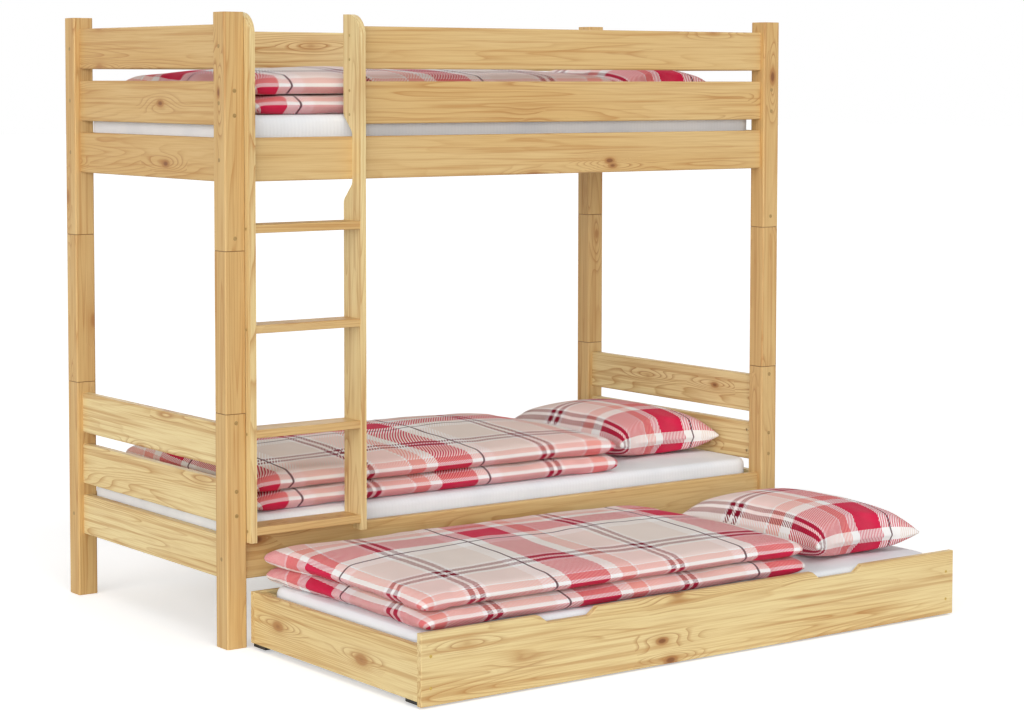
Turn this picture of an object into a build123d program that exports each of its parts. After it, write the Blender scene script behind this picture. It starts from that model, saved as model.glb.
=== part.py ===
"""Pine bunk bed with a hung ladder and a wheeled trundle bed that rolls in underneath.

Millimetres, +Z up. X runs along the beds, Y from the trundle's front to the bunk's back. The origin
is on the floor, under the middle of the whole piece of furniture with its trundle pulled out.
"""
import os

from build123d import *

os.makedirs("parts", exist_ok=True)

# ---------------------------------------------------------------- bunk frame
mattress_length = 2000      # nominal mattress of both bunks
mattress_width = 900
mattress_gap = 3.5          # room left round the nominal mattress on each side
post_width = 65             # square section of the posts
post_round = 5
end_bevel = 1.2             # bevel that shows as a thin line at each joint of a post
board_thick = 28
board_height = 125
board_slot = 36             # gap between one board and the next
board_round = 5
leg_height = 195            # floor to the lowest board
post_over = 34              # post above the highest board
riser_height = 464          # post section between the two beds
tenon_thick = 14
tenon_inset = 15            # tenon edge to board edge
tenon_length = 22
joint_clear = 0.2           # play round tenons, pins and screws

# ---------------------------------------------------------------- ladder
ladder_width = 392
ladder_reach = 25           # ladder front ahead of the posts
stile_thick = 20
stile_depth = 90
stile_lip = 16              # part of the stile that hooks down in front of the lower rail
stile_top_radius = 65
notch_gap = 13              # notch beyond the upper rail's edges
notch_rise = 50             # height of the notch's slanted ends
notch_round = 20
rung_thick = 24
rung_setback = 2
rung_round = 3
rung_tops = (348, 628, 928, 1214)

# ---------------------------------------------------------------- slats and bedding of the bunks
cleat_height = 20
cleat_depth = 30
slat_thick = 18
slat_width = 68
slat_count = 14
slat_clear = 2
mattress_thick = 130
upper_mattress_thick = 150
mattress_corner = 60
mattress_edge = 22
rest_gap = 0.3              # soft pieces stand this far off their neighbours
soft_clear = 1.5            # room between a mattress and upright wood
duvet_length = 1370
duvet_narrower = 70         # mattress width less the duvet's
duvet_thick = 145           # at its crown
duvet_crown = 32            # crown above the rolled front edge
duvet_corner = 60
duvet_rim = 38
pillow_width = 430
pillow_length = 640
pillow_thick = 160
bunk_duvet_start = 140      # bunk's left end to its duvet
bunk_duvet_front = 82       # front of the posts to the duvet
bunk_pillow_end = 60        # pillow to the bunk's right end
bunk_pillow_front = 215

# ---------------------------------------------------------------- trundle
panel_thick = 18
panel_round = 2
panel_side_clear = 5.5      # trundle front to the post on each side
panel_top = 198
panel_floor_gap = 5
trundle_narrower = 35       # mattress width less the trundle's depth
trundle_depth = mattress_width - trundle_narrower
trundle_pulled = 12         # bunk front to the trundle's back, pulled out
box_bottom = 16
box_top = 165
handle_spread = 497         # bed middle to the middle of each finger notch
handle_top = 200
handle_bottom = 142
handle_drop = 22
handle_round = 11
batten_width = 25
batten_depth = 52
batten_over = 5             # side panel above the corner battens
trundle_slat_level = 65     # top of the trundle's slats
trundle_mattress_end_gap = 11.5
trundle_mattress_side_gap = 14.5
trundle_mattress_thick = 120
trundle_mattress_corner = 85
trundle_duvet_start = 22    # trundle's left end to its duvet
trundle_duvet_front = 26
trundle_duvet_thick = 135
trundle_pillow_end = 45
trundle_pillow_front = 95
wheel_diameter = 40
wheel_width = 18
wheel_side_gap = 1.5
wheel_edge = 2
bracket_thick = 2
bracket_cheek = 24
axle_diameter = 6
axle_clear = 0.05           # radial running clearance of the wheel on its axle
bracket_screw_side = 7      # bracket's middle to each of its two screws, across
bracket_screw_reach = 19    # and along the panel
bracket_screw_length = 20

# ---------------------------------------------------------------- fasteners
cap_diameter = 12
cap_thick = 5
bolt_head_diameter = 11
bolt_head_height = 5
bolt_sink = 11              # face of the post to the seat of the bolt's head
bolt_diameter = 6
bolt_past_nut = 9
nut_diameter = 10
nut_length = 18
nut_inset = 30              # end of the board to the nut
nut_clear = 0.1
end_bolt_spread = 35        # end board's middle to each of its two bolts
pin_diameter = 12
pin_length = 120
lock_below = 26             # joint to the lock screw in the section under it
lock_above = 36             # joint to the lock screw in the section over it
screw_head_diameter = 9
screw_head_height = 2.5
screw_diameter = 5
screw_length = 42
cleat_screw_count = 6
rung_screw_spread = 24
front_screw_levels = (52, 136)
front_screw_end = 30.5      # trundle's end to the middle of its corner battens
plug_diameter = 9
plug_thick = 4

# ---------------------------------------------------------------- derived places
inset = (post_width - board_thick) / 2
half_length = mattress_length / 2 + mattress_gap + board_thick + inset
bed_depth = mattress_width + 2 * (mattress_gap + board_thick + inset)
trundle_travel = trundle_pulled + trundle_depth
front = -(bed_depth - trundle_travel) / 2
back = front + bed_depth
board_pitch = board_height + board_slot
section_height = leg_height + 2 * board_pitch + board_height + post_over
tier_height = section_height + riser_height
tiers = {"lower": 0, "upper": tier_height}
sides = {"left": -1, "right": 1}
faces = {"front": -1, "back": 1}
post_x = half_length - post_width / 2
duvet_depth = mattress_width - duvet_narrower
post_y = {"front": front + post_width / 2, "back": back - post_width / 2}
rail_half = half_length - post_width

ladder_front = front - ladder_reach
ladder_back = ladder_front + stile_depth
ladder_left = -rail_half
ladder_right = ladder_left + ladder_width
rail_face = front + inset
rail_inner = rail_face + board_thick

slat_level = leg_height + cleat_height + slat_thick
mattress_tops = {"lower": slat_level + mattress_thick, "upper": slat_level + upper_mattress_thick}

trundle_half = rail_half - panel_side_clear
trundle_front = front - trundle_travel
trundle_back = trundle_front + trundle_depth
trundle_mattress_top = trundle_slat_level + trundle_mattress_thick
batten_bottom = wheel_diameter + bracket_thick + 2
wheel_x = trundle_half - panel_thick - batten_width / 2
wheel_inset = panel_thick + batten_depth / 2
trundle_ends = {trundle_front: 1, trundle_back: -1}
bracket_screws = [(s * wheel_x + c * bracket_screw_side,
                   end + inward * wheel_inset + c * bracket_screw_reach)
                  for end, inward in trundle_ends.items() for s in (-1, 1) for c in (-1, 1)]


def board_middle(tier, level):
    """Height of the middle of a board, counted from 0 at the lowest board of each bed."""
    return tiers[tier] + leg_height + level * board_pitch + board_height / 2


def toward(direction, start, distance):
    """Point at a distance from another along a direction."""
    return tuple(s + d * distance for s, d in zip(start, direction))


def rod(start, direction, radius, length, mode=Mode.ADD):
    """Round bar or hole that starts at a point and runs along a direction."""
    with Locations(Plane(origin=start, z_dir=direction)):
        Cylinder(radius, length, align=(Align.CENTER, Align.CENTER, Align.MIN), mode=mode)


def bore(start, direction, diameter, depth):
    """Round hole that starts just outside a face."""
    rod(toward(direction, start, -0.5), direction, diameter / 2, depth + 0.5, Mode.SUBTRACT)


def block(x, y, z):
    """Box given by its lowest and highest place along each axis."""
    with Locations((sum(x) / 2, sum(y) / 2, sum(z) / 2)):
        Box(x[1] - x[0], y[1] - y[0], z[1] - z[0])


def save(piece, name):
    """Label a finished piece and write its STEP file."""
    piece.part.label = name
    export_step(piece.part, f"parts/{name}.step")


# ---------------------------------------------------------------- where the fasteners sit
# Each seat is a point on an outer face and the direction into the wood.
ladder_guards = [("front", 1), ("front", 2)]


def rail_seats(tier, face, level):
    """Seats of the bolts that hold one long board, both ends or the right end of a cut guard."""
    cut = (face, level) in ladder_guards
    z = board_middle(tier, level)
    return [((s * half_length, post_y[face], z), (-s, 0, 0)) for s in ((1,) if cut else (-1, 1))]


def end_seats(tier, side):
    """Seats of the bolts that hold the middle board of one bed end."""
    found = []
    for face, f in faces.items():
        for step in (-end_bolt_spread, end_bolt_spread):
            y = front if face == "front" else back
            found.append(((side * post_x, y, board_middle(tier, 1) + step), (0, -f, 0)))
    return found


long_boards = [("lower", "front", 0), ("lower", "back", 0)]
long_boards += [("upper", face, level) for face in faces for level in range(3)]
lock_levels = (section_height - lock_below, tier_height + lock_above)
stile_post_levels = (section_height - 2 * lock_above, tier_height + 0.75 * section_height)
lock_seats = [((s * post_x, front if f < 0 else back, z), (0, -f, 0))
              for s in (-1, 1) for f in (-1, 1) for z in lock_levels]
bolt_seats = [seat for b in long_boards for seat in rail_seats(*b)]
bolt_seats += [seat for tier in tiers for s in (-1, 1) for seat in end_seats(tier, s)]
spare_seats = [((-half_length, post_y["front"], board_middle("upper", k)), (1, 0, 0)) for k in (1, 2)]
bolt_length = post_width - bolt_sink + nut_inset + bolt_past_nut


def sunk_bolt_hole(seat):
    """Counterbore for cap and head, then a clear hole for the shank through the post."""
    start, direction = seat
    bore(start, direction, cap_diameter + joint_clear, bolt_sink)
    bore(start, direction, bolt_diameter + 2 * joint_clear, post_width + 1)


def bolt_end_hole(end, direction, face_point, face_direction):
    """Holes in a board's end: along the board for the bolt, across it for the barrel nut."""
    bore(end, direction, bolt_diameter + 2 * joint_clear, nut_inset + bolt_past_nut + 2)
    depth = board_thick / 2 + nut_length / 2
    bore(face_point, face_direction, nut_diameter + 2 * nut_clear, depth)


# ---------------------------------------------------------------- posts
def make_post(side, face, base, height, joints, bolts, mortises):
    """One section of a post with its pin bores, bolt holes and mortises."""
    x = sides[side] * post_x
    y = post_y[face]
    f = faces[face]
    with BuildPart() as section:
        block((x - post_width / 2, x + post_width / 2), (y - post_width / 2, y + post_width / 2),
              (base, base + height))
        fillet(section.edges().filter_by(Axis.Z), post_round)
        ends = section.faces().filter_by(Axis.Z).edges()
        chamfer(ends, end_bevel)
        for joint in joints:
            depth = pin_length / 2 + 1
            up = 1 if joint == base else -1
            bore((x, y, joint), (0, 0, up), pin_diameter + joint_clear, depth)
        for seat in bolts:
            sunk_bolt_hole(seat)
        for start, direction in lock_seats:
            near = abs(start[0] - x) < 1 and direction[1] == -f
            if near and base < start[2] < base + height:
                bore(start, direction, cap_diameter + joint_clear, bolt_sink)
                bore(start, direction, screw_diameter + joint_clear, post_width / 2)
        if (side, face) == ("left", "front"):
            for z in stile_post_levels:
                if base < z < base + height:
                    bore((ladder_left, y, z), (-1, 0, 0), screw_diameter + joint_clear,
                         screw_length + screw_head_height - stile_thick)
        for z in mortises:
            inner = y - f * post_width / 2
            reach = f * (tenon_length + 1)
            half = board_height / 2 - tenon_inset + joint_clear
            with Locations((x, inner + reach / 2, z)):
                Box(tenon_thick + 2 * joint_clear, abs(reach), 2 * half, mode=Mode.SUBTRACT)
    return section


for side, s in sides.items():
    for face in faces:
        for tier, base in tiers.items():
            seats = [((s * half_length, post_y[face], board_middle(tier, k)), (-s, 0, 0))
                     for k in (range(3) if tier == "upper" else range(1))]
            seats += [seat for seat in end_seats(tier, s) if seat[1][1] == -faces[face]]
            joint = section_height if tier == "lower" else base
            middles = [board_middle(tier, k) for k in range(3)]
            post = make_post(side, face, base, section_height, [joint], seats, middles)
            save(post, f"post_{face}_{side}_{tier}")
        joints = [section_height, tier_height]
        riser = make_post(side, face, section_height, riser_height, joints, [], [])
        save(riser, f"post_{face}_{side}_riser")

with BuildPart() as post_pins:
    for s in (-1, 1):
        for y in post_y.values():
            for z in (section_height, tier_height):
                with Locations((s * post_x, y, z)):
                    Cylinder(pin_diameter / 2, pin_length)
    for start, direction in lock_seats:
        # cross hole that takes the tip of the lock screw
        tip = toward(direction, start, post_width / 2 - pin_diameter / 2)
        bore(tip, direction, screw_diameter + joint_clear, pin_diameter * 0.6)
save(post_pins, "post_pins")


# ---------------------------------------------------------------- boards of the bed ends
def make_end_boards(side, tier):
    """Three boards between a front and a back post, with tenons let into both posts."""
    x = sides[side] * post_x
    y0 = front + post_width
    y1 = back - post_width
    with BuildPart() as boards:
        for level in range(3):
            z = board_middle(tier, level)
            block((x - board_thick / 2, x + board_thick / 2), (y0, y1),
                  (z - board_height / 2, z + board_height / 2))
        fillet(boards.edges().filter_by(Axis.Y), board_round)
        for level in range(3):
            z = board_middle(tier, level)
            half = board_height / 2 - tenon_inset
            block((x - tenon_thick / 2, x + tenon_thick / 2), (y0 - tenon_length, y1 + tenon_length),
                  (z - half, z + half))
        for start, direction in end_seats(tier, sides[side]):
            shoulder = toward(direction, start, post_width)
            tenon_end = toward(direction, shoulder, -tenon_length)
            nut = toward(direction, shoulder, nut_inset)
            inner = sides[side] * (post_x - board_thick / 2)
            bore(tenon_end, direction, bolt_diameter + 2 * joint_clear,
                 tenon_length + nut_inset + bolt_past_nut + 2)
            bore((inner, nut[1], nut[2]), (sides[side], 0, 0), nut_diameter + 2 * nut_clear,
                 board_thick / 2 + nut_length / 2)
    return boards


for side in sides:
    for tier in tiers:
        save(make_end_boards(side, tier), f"end_boards_{side}_{tier}")


# ---------------------------------------------------------------- long rails and guards
def cleat_screw_xs():
    """Places along the bed of the screws that hold a cleat."""
    span = 2 * rail_half - 200
    return [-span / 2 + span * k / (cleat_screw_count - 1) for k in range(cleat_screw_count)]


def make_long_board(tier, face, level):
    """Side rail or guard between the posts; front guards stop at the ladder."""
    f = faces[face]
    y = post_y[face]
    z = board_middle(tier, level)
    x0 = ladder_right if (face, level) in ladder_guards else -rail_half
    inner = y - f * board_thick / 2
    with BuildPart() as board:
        block((x0, rail_half), (y - board_thick / 2, y + board_thick / 2),
              (z - board_height / 2, z + board_height / 2))
        fillet(board.edges().filter_by(Axis.X), board_round)
        for start, direction in rail_seats(tier, face, level):
            end = toward(direction, start, post_width)
            nut = toward(direction, end, nut_inset)
            bolt_end_hole(end, direction, (nut[0], inner, z), (0, f, 0))
        if level == 0:
            cleat_z = tiers[tier] + leg_height + cleat_height / 2
            for x in cleat_screw_xs():
                bore((x, inner, cleat_z), (0, f, 0), screw_diameter + joint_clear,
                     screw_length + screw_head_height - cleat_depth)
        if (tier, face, level) == ("upper", "front", 0):
            for x in stile_middles:
                start = (x, inner, z + end_bolt_spread)
                bore(start, (0, -1, 0), screw_head_diameter + joint_clear, screw_head_height)
                bore(start, (0, -1, 0), screw_diameter + joint_clear, board_thick + 1)
        if (face, level) in ladder_guards:
            for step in guard_screw_steps:
                bore((x0, y, z + step), (1, 0, 0), screw_diameter + joint_clear,
                     screw_length + screw_head_height - stile_thick)
    return board


stile_middles = (ladder_left + stile_thick / 2, ladder_right - stile_thick / 2)
guard_screw_steps = (-end_bolt_spread, end_bolt_spread)
board_names = {0: "rail", 1: "guard_middle", 2: "guard_top"}
for tier, face, level in long_boards:
    save(make_long_board(tier, face, level), f"{board_names[level]}_{face}_{tier}")


# ---------------------------------------------------------------- ladder
rail_top = tiers["lower"] + leg_height + board_height
upper_rail_low = board_middle("upper", 0) - board_height / 2
upper_rail_high = board_middle("upper", 0) + board_height / 2
ladder_top = tier_height + section_height
rung_screw_ys = [(ladder_front + ladder_back) / 2 + step
                 for step in (-rung_screw_spread, rung_screw_spread)]


def make_stile(x0, outward):
    """Ladder side: round at the top, notched over the upper rail, hooked over the lower one."""
    with BuildPart() as stile:
        with BuildSketch(Plane.YZ.offset(x0)):
            with BuildLine():
                top_back = (ladder_back, ladder_top)
                low_back = (ladder_back, rail_top)
                slant_high = (ladder_back, upper_rail_high + notch_gap + notch_rise)
                slant_low = (ladder_back, upper_rail_low - notch_gap - notch_rise)
                neck_high = (rail_face, upper_rail_high + notch_gap)
                neck_low = (rail_face, upper_rail_low - notch_gap)
                arc_start = (ladder_front, ladder_top - stile_top_radius)
                arc_end = (ladder_front + stile_top_radius, ladder_top)
                RadiusArc(arc_start, arc_end, stile_top_radius)
                Line(arc_end, top_back)
                FilletPolyline(top_back, slant_high, neck_high, neck_low, slant_low, low_back,
                               radius=notch_round)
                Polyline(low_back, (rail_face, rail_top), (rail_face, rail_top - stile_lip),
                         (ladder_front, rail_top - stile_lip), arc_start)
            make_face()
        extrude(amount=stile_thick)
        outer = x0 if outward < 0 else x0 + stile_thick
        inner = x0 + stile_thick if outward < 0 else x0
        for top in rung_tops:
            for y in rung_screw_ys:
                start = (outer, y, top - rung_thick / 2)
                bore(start, (-outward, 0, 0), screw_head_diameter + joint_clear, screw_head_height)
                bore(start, (-outward, 0, 0), screw_diameter + joint_clear, stile_thick + 1)
        bore((x0 + stile_thick / 2, rail_face, board_middle("upper", 0) + end_bolt_spread), (0, -1, 0),
             screw_diameter + joint_clear, screw_length + screw_head_height - board_thick)
        for start, direction in stile_screws(outward):
            start = (inner, start[1], start[2])
            bore(start, direction, screw_head_diameter + joint_clear, screw_head_height)
            bore(start, direction, screw_diameter + joint_clear, stile_thick + 1)
    return stile


def stile_screws(outward):
    """Screws from inside the ladder: into the corner post on the left, into the guards on the right."""
    if outward < 0:
        x = ladder_left + stile_thick
        return [((x, post_y["front"], z), (-1, 0, 0)) for z in stile_post_levels]
    x = ladder_right - stile_thick
    return [((x, post_y["front"], board_middle("upper", k) + step), (1, 0, 0))
            for k in (1, 2) for step in guard_screw_steps]


save(make_stile(ladder_left, -1), "ladder_stile_left")
save(make_stile(ladder_right - stile_thick, 1), "ladder_stile_right")

for number, top in enumerate(rung_tops, start=1):
    with BuildPart() as rung:
        block((ladder_left + stile_thick, ladder_right - stile_thick),
              (ladder_front + rung_setback, ladder_back), (top - rung_thick, top))
        fillet(rung.edges().filter_by(Axis.X), rung_round)
        for s, x in ((1, ladder_left + stile_thick), (-1, ladder_right - stile_thick)):
            for y in rung_screw_ys:
                bore((x, y, top - rung_thick / 2), (s, 0, 0), screw_diameter + joint_clear,
                     screw_length + screw_head_height - stile_thick)
    save(rung, f"ladder_rung_{number}")

# ---------------------------------------------------------------- cleats and slats of the bunks
with BuildPart() as slat_cleats:
    for tier, base in tiers.items():
        for face, f in faces.items():
            wall = post_y[face] - f * board_thick / 2
            near, far = sorted((wall, wall - f * cleat_depth))
            block((-rail_half, rail_half), (near, far),
                  (base + leg_height, base + leg_height + cleat_height))
            for x in cleat_screw_xs():
                start = (x, wall - f * cleat_depth, base + leg_height + cleat_height / 2)
                bore(start, (0, f, 0), screw_head_diameter + joint_clear, screw_head_height)
                bore(start, (0, f, 0), screw_diameter + joint_clear, cleat_depth + 1)
save(slat_cleats, "slat_cleats")


def make_slats(x0, x1, y0, y1, top):
    """Row of slats across a bed, spread evenly between two ends."""
    step = (x1 - x0 - slat_width) / (slat_count - 1)
    with BuildPart() as slats:
        for k in range(slat_count):
            x = x0 + k * step
            block((x, x + slat_width), (y0, y1), (top - slat_thick, top))
        fillet(slats.edges().filter_by(Axis.Y), 3)
    return slats


for tier, base in tiers.items():
    slats = make_slats(-rail_half + slat_clear, rail_half - slat_clear, rail_inner + slat_clear,
                       back - inset - board_thick - slat_clear, base + slat_level)
    save(slats, f"slats_{tier}")


# ---------------------------------------------------------------- mattresses, duvets and pillows
def make_mattress(x, y, z, corner):
    """Foam mattress with rounded upright corners and softened top and bottom edges."""
    with BuildPart() as mattress:
        block(x, y, z)
        fillet(mattress.edges().filter_by(Axis.Z), corner)
        fillet(mattress.faces().filter_by(Axis.Z).edges(), mattress_edge)
    return mattress


def make_duvet(x, y, z):
    """Outer shape of a duvet folded once and crowned across its middle."""
    edge = z[1] - duvet_crown
    with BuildPart() as duvet:
        with BuildSketch(Plane.YZ.offset(x[0])):
            with BuildLine():
                Polyline((y[0], edge), (y[0], z[0]), (y[1], z[0]), (y[1], edge))
                ThreePointArc((y[0], edge), (sum(y) / 2, z[1]), (y[1], edge))
            make_face()
        extrude(amount=x[1] - x[0])
        fillet(duvet.edges().filter_by(Axis.Z), duvet_corner)
        faces = duvet.faces().sort_by(Axis.Z)
        fillet(faces[0].edges() + faces[-1].edges(), duvet_rim)
    return duvet


def make_pillow(x, y, z):
    """Stuffed pillow: full size at its seam, domed above and below."""
    middle = (sum(x) / 2, sum(y) / 2)
    seam = z[0] + (z[1] - z[0]) * 0.4
    with BuildPart() as pillow:
        for level, share in ((z[0], 0.72), (seam, 1.0), (z[1], 0.5)):
            width = (x[1] - x[0]) * share
            length = (y[1] - y[0]) * share
            with BuildSketch(Plane.XY.offset(level)):
                with Locations(middle):
                    RectangleRounded(width, length, width * 0.2)
        loft(ruled=True)
    return pillow


bed_left = -half_length
mattress_back = back - inset - board_thick - soft_clear
for tier, base in tiers.items():
    mattress = make_mattress((-mattress_length / 2, mattress_length / 2),
                             (ladder_back + soft_clear, mattress_back),
                             (base + slat_level, base + mattress_tops[tier]), mattress_corner)
    save(mattress, f"mattress_{tier}")
    soft_base = base + mattress_tops[tier] + rest_gap
    duvet_x = bed_left + bunk_duvet_start
    duvet_y = front + bunk_duvet_front
    duvet = make_duvet((duvet_x, duvet_x + duvet_length), (duvet_y, duvet_y + duvet_depth),
                       (soft_base, soft_base + duvet_thick))
    save(duvet, f"duvet_{tier}")
    pillow_x = -bed_left - bunk_pillow_end
    pillow_y = front + bunk_pillow_front
    pillow = make_pillow((pillow_x - pillow_width, pillow_x), (pillow_y, pillow_y + pillow_length),
                         (soft_base, soft_base + pillow_thick))
    save(pillow, f"pillow_{tier}")

# ---------------------------------------------------------------- fasteners of the bunk
with BuildPart() as frame_bolts:
    for start, direction in bolt_seats:
        head = toward(direction, start, bolt_sink - bolt_head_height)
        rod(head, direction, bolt_head_diameter / 2, bolt_head_height)
        rod(toward(direction, start, bolt_sink), direction, bolt_diameter / 2, bolt_length)
save(frame_bolts, "frame_bolts")

with BuildPart() as barrel_nuts:
    for start, direction in bolt_seats:
        nut = toward(direction, start, post_width + nut_inset)
        across = (0, 1, 0) if direction[0] else (1, 0, 0)
        rod(toward(across, nut, -nut_length / 2), across, nut_diameter / 2, nut_length)
    for start, direction in bolt_seats:
        nut = toward(direction, start, post_width + nut_inset)
        bore(toward(direction, nut, -nut_diameter / 2), direction, bolt_diameter + 2 * nut_clear,
             nut_diameter)
save(barrel_nuts, "barrel_nuts")

with BuildPart() as cover_caps:
    for start, direction in bolt_seats + spare_seats + lock_seats:
        rod(start, direction, cap_diameter / 2, cap_thick)
save(cover_caps, "cover_caps")


def wood_screw(start, direction):
    """Pan-head wood screw with its head sunk flush in the face it starts from."""
    rod(start, direction, screw_head_diameter / 2, screw_head_height)
    rod(toward(direction, start, screw_head_height), direction, screw_diameter / 2, screw_length)


with BuildPart() as wood_screws:
    for tier, base in tiers.items():
        for face, f in faces.items():
            y = post_y[face] - f * (board_thick / 2 + cleat_depth)
            for x in cleat_screw_xs():
                wood_screw((x, y, base + leg_height + cleat_height / 2), (0, f, 0))
    for x in stile_middles:
        wood_screw((x, rail_inner, board_middle("upper", 0) + end_bolt_spread), (0, -1, 0))
    for top in rung_tops:
        for y in rung_screw_ys:
            wood_screw((ladder_left, y, top - rung_thick / 2), (1, 0, 0))
            wood_screw((ladder_right, y, top - rung_thick / 2), (-1, 0, 0))
    for outward in (-1, 1):
        for start, direction in stile_screws(outward):
            wood_screw(start, direction)
    for start, direction in lock_seats:
        tip = post_width / 2
        head = toward(direction, start, bolt_sink - screw_head_height)
        rod(head, direction, screw_head_diameter / 2, screw_head_height)
        rod(toward(direction, start, bolt_sink), direction, screw_diameter / 2, tip - bolt_sink)
save(wood_screws, "wood_screws")

# ---------------------------------------------------------------- trundle box
front_inner = trundle_front + panel_thick
back_inner = trundle_back - panel_thick
side_inner = trundle_half - panel_thick

with BuildPart() as trundle_front_panel:
    with BuildSketch(Plane.XZ.offset(-trundle_front)) as outline:
        with BuildLine():
            step = (handle_top - handle_bottom) / 2
            corners = [(-trundle_half, panel_top), (-trundle_half, panel_floor_gap),
                       (trundle_half, panel_floor_gap), (trundle_half, panel_top)]
            for middle in (handle_spread, -handle_spread):
                high = panel_top
                low = panel_top - handle_drop
                corners += [(middle + handle_top / 2, high), (middle + handle_top / 2 - step, low),
                            (middle - handle_top / 2 + step, low), (middle - handle_top / 2, high)]
            Polyline(*corners, close=True)
        make_face()
        notch_corners = [v for v in outline.vertices() if abs(v.X) < trundle_half - 1
                         or abs(v.Z) < 0]
        fillet(notch_corners, handle_round)
    extrude(amount=-panel_thick)
    rim = trundle_front_panel.faces().sort_by(Axis.Y)[0].edges()
    fillet(rim, panel_round)
    for s in (-1, 1):
        for z in front_screw_levels:
            start = (s * (trundle_half - front_screw_end), trundle_front, z)
            bore(start, (0, 1, 0), plug_diameter + joint_clear, plug_thick + screw_head_height)
            bore(start, (0, 1, 0), screw_diameter + joint_clear, panel_thick + 1)
save(trundle_front_panel, "trundle_front")

with BuildPart() as trundle_back_panel:
    block((-trundle_half, trundle_half), (back_inner, trundle_back), (box_bottom, box_top))
    fillet(trundle_back_panel.edges().filter_by(Axis.X), panel_round)
    for s in (-1, 1):
        for z in front_screw_levels:
            start = (s * (trundle_half - front_screw_end), trundle_back, z)
            bore(start, (0, -1, 0), plug_diameter + joint_clear, plug_thick + screw_head_height)
            bore(start, (0, -1, 0), screw_diameter + joint_clear, panel_thick + 1)
save(trundle_back_panel, "trundle_back")

batten_top = box_top - batten_over
side_screw_levels = (batten_bottom + 20, batten_top - 40)
for side, s in sides.items():
    x0, x1 = sorted((s * trundle_half, s * side_inner))
    with BuildPart() as trundle_side:
        block((x0, x1), (front_inner, back_inner), (box_bottom, box_top))
        fillet(trundle_side.edges().filter_by(Axis.Y), panel_round)
        for end, inward in trundle_ends.items():
            for z in side_screw_levels:
                y = end + inward * wheel_inset
                bore((s * side_inner, y, z), (s, 0, 0), screw_diameter + joint_clear,
                     screw_length - batten_width)
    save(trundle_side, f"trundle_{side}")

cleat_start = trundle_half - panel_thick - 2 * batten_width
with BuildPart() as trundle_battens:
    for end, inward in trundle_ends.items():
        wall = end + inward * panel_thick
        near, far = sorted((wall, wall + inward * cleat_height))
        block((-cleat_start, cleat_start), (near, far),
              (trundle_slat_level - slat_thick - cleat_height, trundle_slat_level - slat_thick))
        for s in (-1, 1):
            x0, x1 = sorted((s * side_inner, s * (side_inner - batten_width)))
            near, far = sorted((wall, wall + inward * batten_depth))
            block((x0, x1), (near, far), (batten_bottom, batten_top))
            for z in front_screw_levels:
                start = (s * (trundle_half - front_screw_end), wall, z)
                bore(start, (0, inward, 0), screw_diameter + joint_clear,
                     screw_length + screw_head_height + plug_thick - panel_thick)
            for z in side_screw_levels:
                start = (s * (side_inner - batten_width), end + inward * wheel_inset, z)
                bore(start, (s, 0, 0), screw_head_diameter + joint_clear, screw_head_height)
                bore(start, (s, 0, 0), screw_diameter + joint_clear, batten_width + 1)
    for x, y in bracket_screws:
        bore((x, y, batten_bottom), (0, 0, 1), screw_diameter + joint_clear, bracket_screw_length)
save(trundle_battens, "trundle_battens")

trundle_slats = make_slats(-cleat_start, cleat_start, front_inner + slat_clear,
                           back_inner - slat_clear, trundle_slat_level)
save(trundle_slats, "trundle_slats")

with BuildPart() as trundle_screws:
    for end, inward in trundle_ends.items():
        for s in (-1, 1):
            for z in front_screw_levels:
                start = (s * (trundle_half - front_screw_end), end + inward * plug_thick, z)
                wood_screw(start, (0, inward, 0))
            for z in side_screw_levels:
                start = (s * (side_inner - batten_width), end + inward * wheel_inset, z)
                rod(start, (s, 0, 0), screw_head_diameter / 2, screw_head_height)
                rod(toward((s, 0, 0), start, screw_head_height), (s, 0, 0), screw_diameter / 2,
                    screw_length - screw_head_height - 2)
    for x, y in bracket_screws:
        head = batten_bottom - bracket_thick - screw_head_height
        rod((x, y, head), (0, 0, 1), screw_head_diameter / 2, screw_head_height)
        rod((x, y, head + screw_head_height), (0, 0, 1), screw_diameter / 2, bracket_screw_length)
save(trundle_screws, "trundle_screws")

with BuildPart() as trundle_plugs:
    for end, inward in trundle_ends.items():
        for s in (-1, 1):
            for z in front_screw_levels:
                rod((s * (trundle_half - front_screw_end), end, z), (0, inward, 0),
                    plug_diameter / 2, plug_thick)
save(trundle_plugs, "trundle_plugs")

# ---------------------------------------------------------------- wheels
axle_z = wheel_diameter / 2
cheek_gap = wheel_width + 2 * wheel_side_gap
with BuildPart() as wheel_brackets:
    for end, inward in trundle_ends.items():
        y = end + inward * wheel_inset
        for s in (-1, 1):
            x = s * wheel_x
            block((x - batten_width / 2, x + batten_width / 2),
                  (y - batten_depth / 2, y + batten_depth / 2),
                  (batten_bottom - bracket_thick, batten_bottom))
            for c in (-1, 1):
                x0, x1 = sorted((x + c * cheek_gap / 2, x + c * (cheek_gap / 2 + bracket_thick)))
                block((x0, x1), (y - bracket_cheek / 2, y + bracket_cheek / 2),
                      (axle_z, batten_bottom - bracket_thick))
                with Locations(((x0 + x1) / 2, y, axle_z)):
                    Cylinder(bracket_cheek / 2, bracket_thick, rotation=(0, 90, 0))
            with Locations((x, y, axle_z)):
                Cylinder(axle_diameter / 2, cheek_gap, rotation=(0, 90, 0))
    for x, y in bracket_screws:
        bore((x, y, batten_bottom), (0, 0, -1), screw_diameter + joint_clear, bracket_thick + 1)
save(wheel_brackets, "wheel_brackets")

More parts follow.
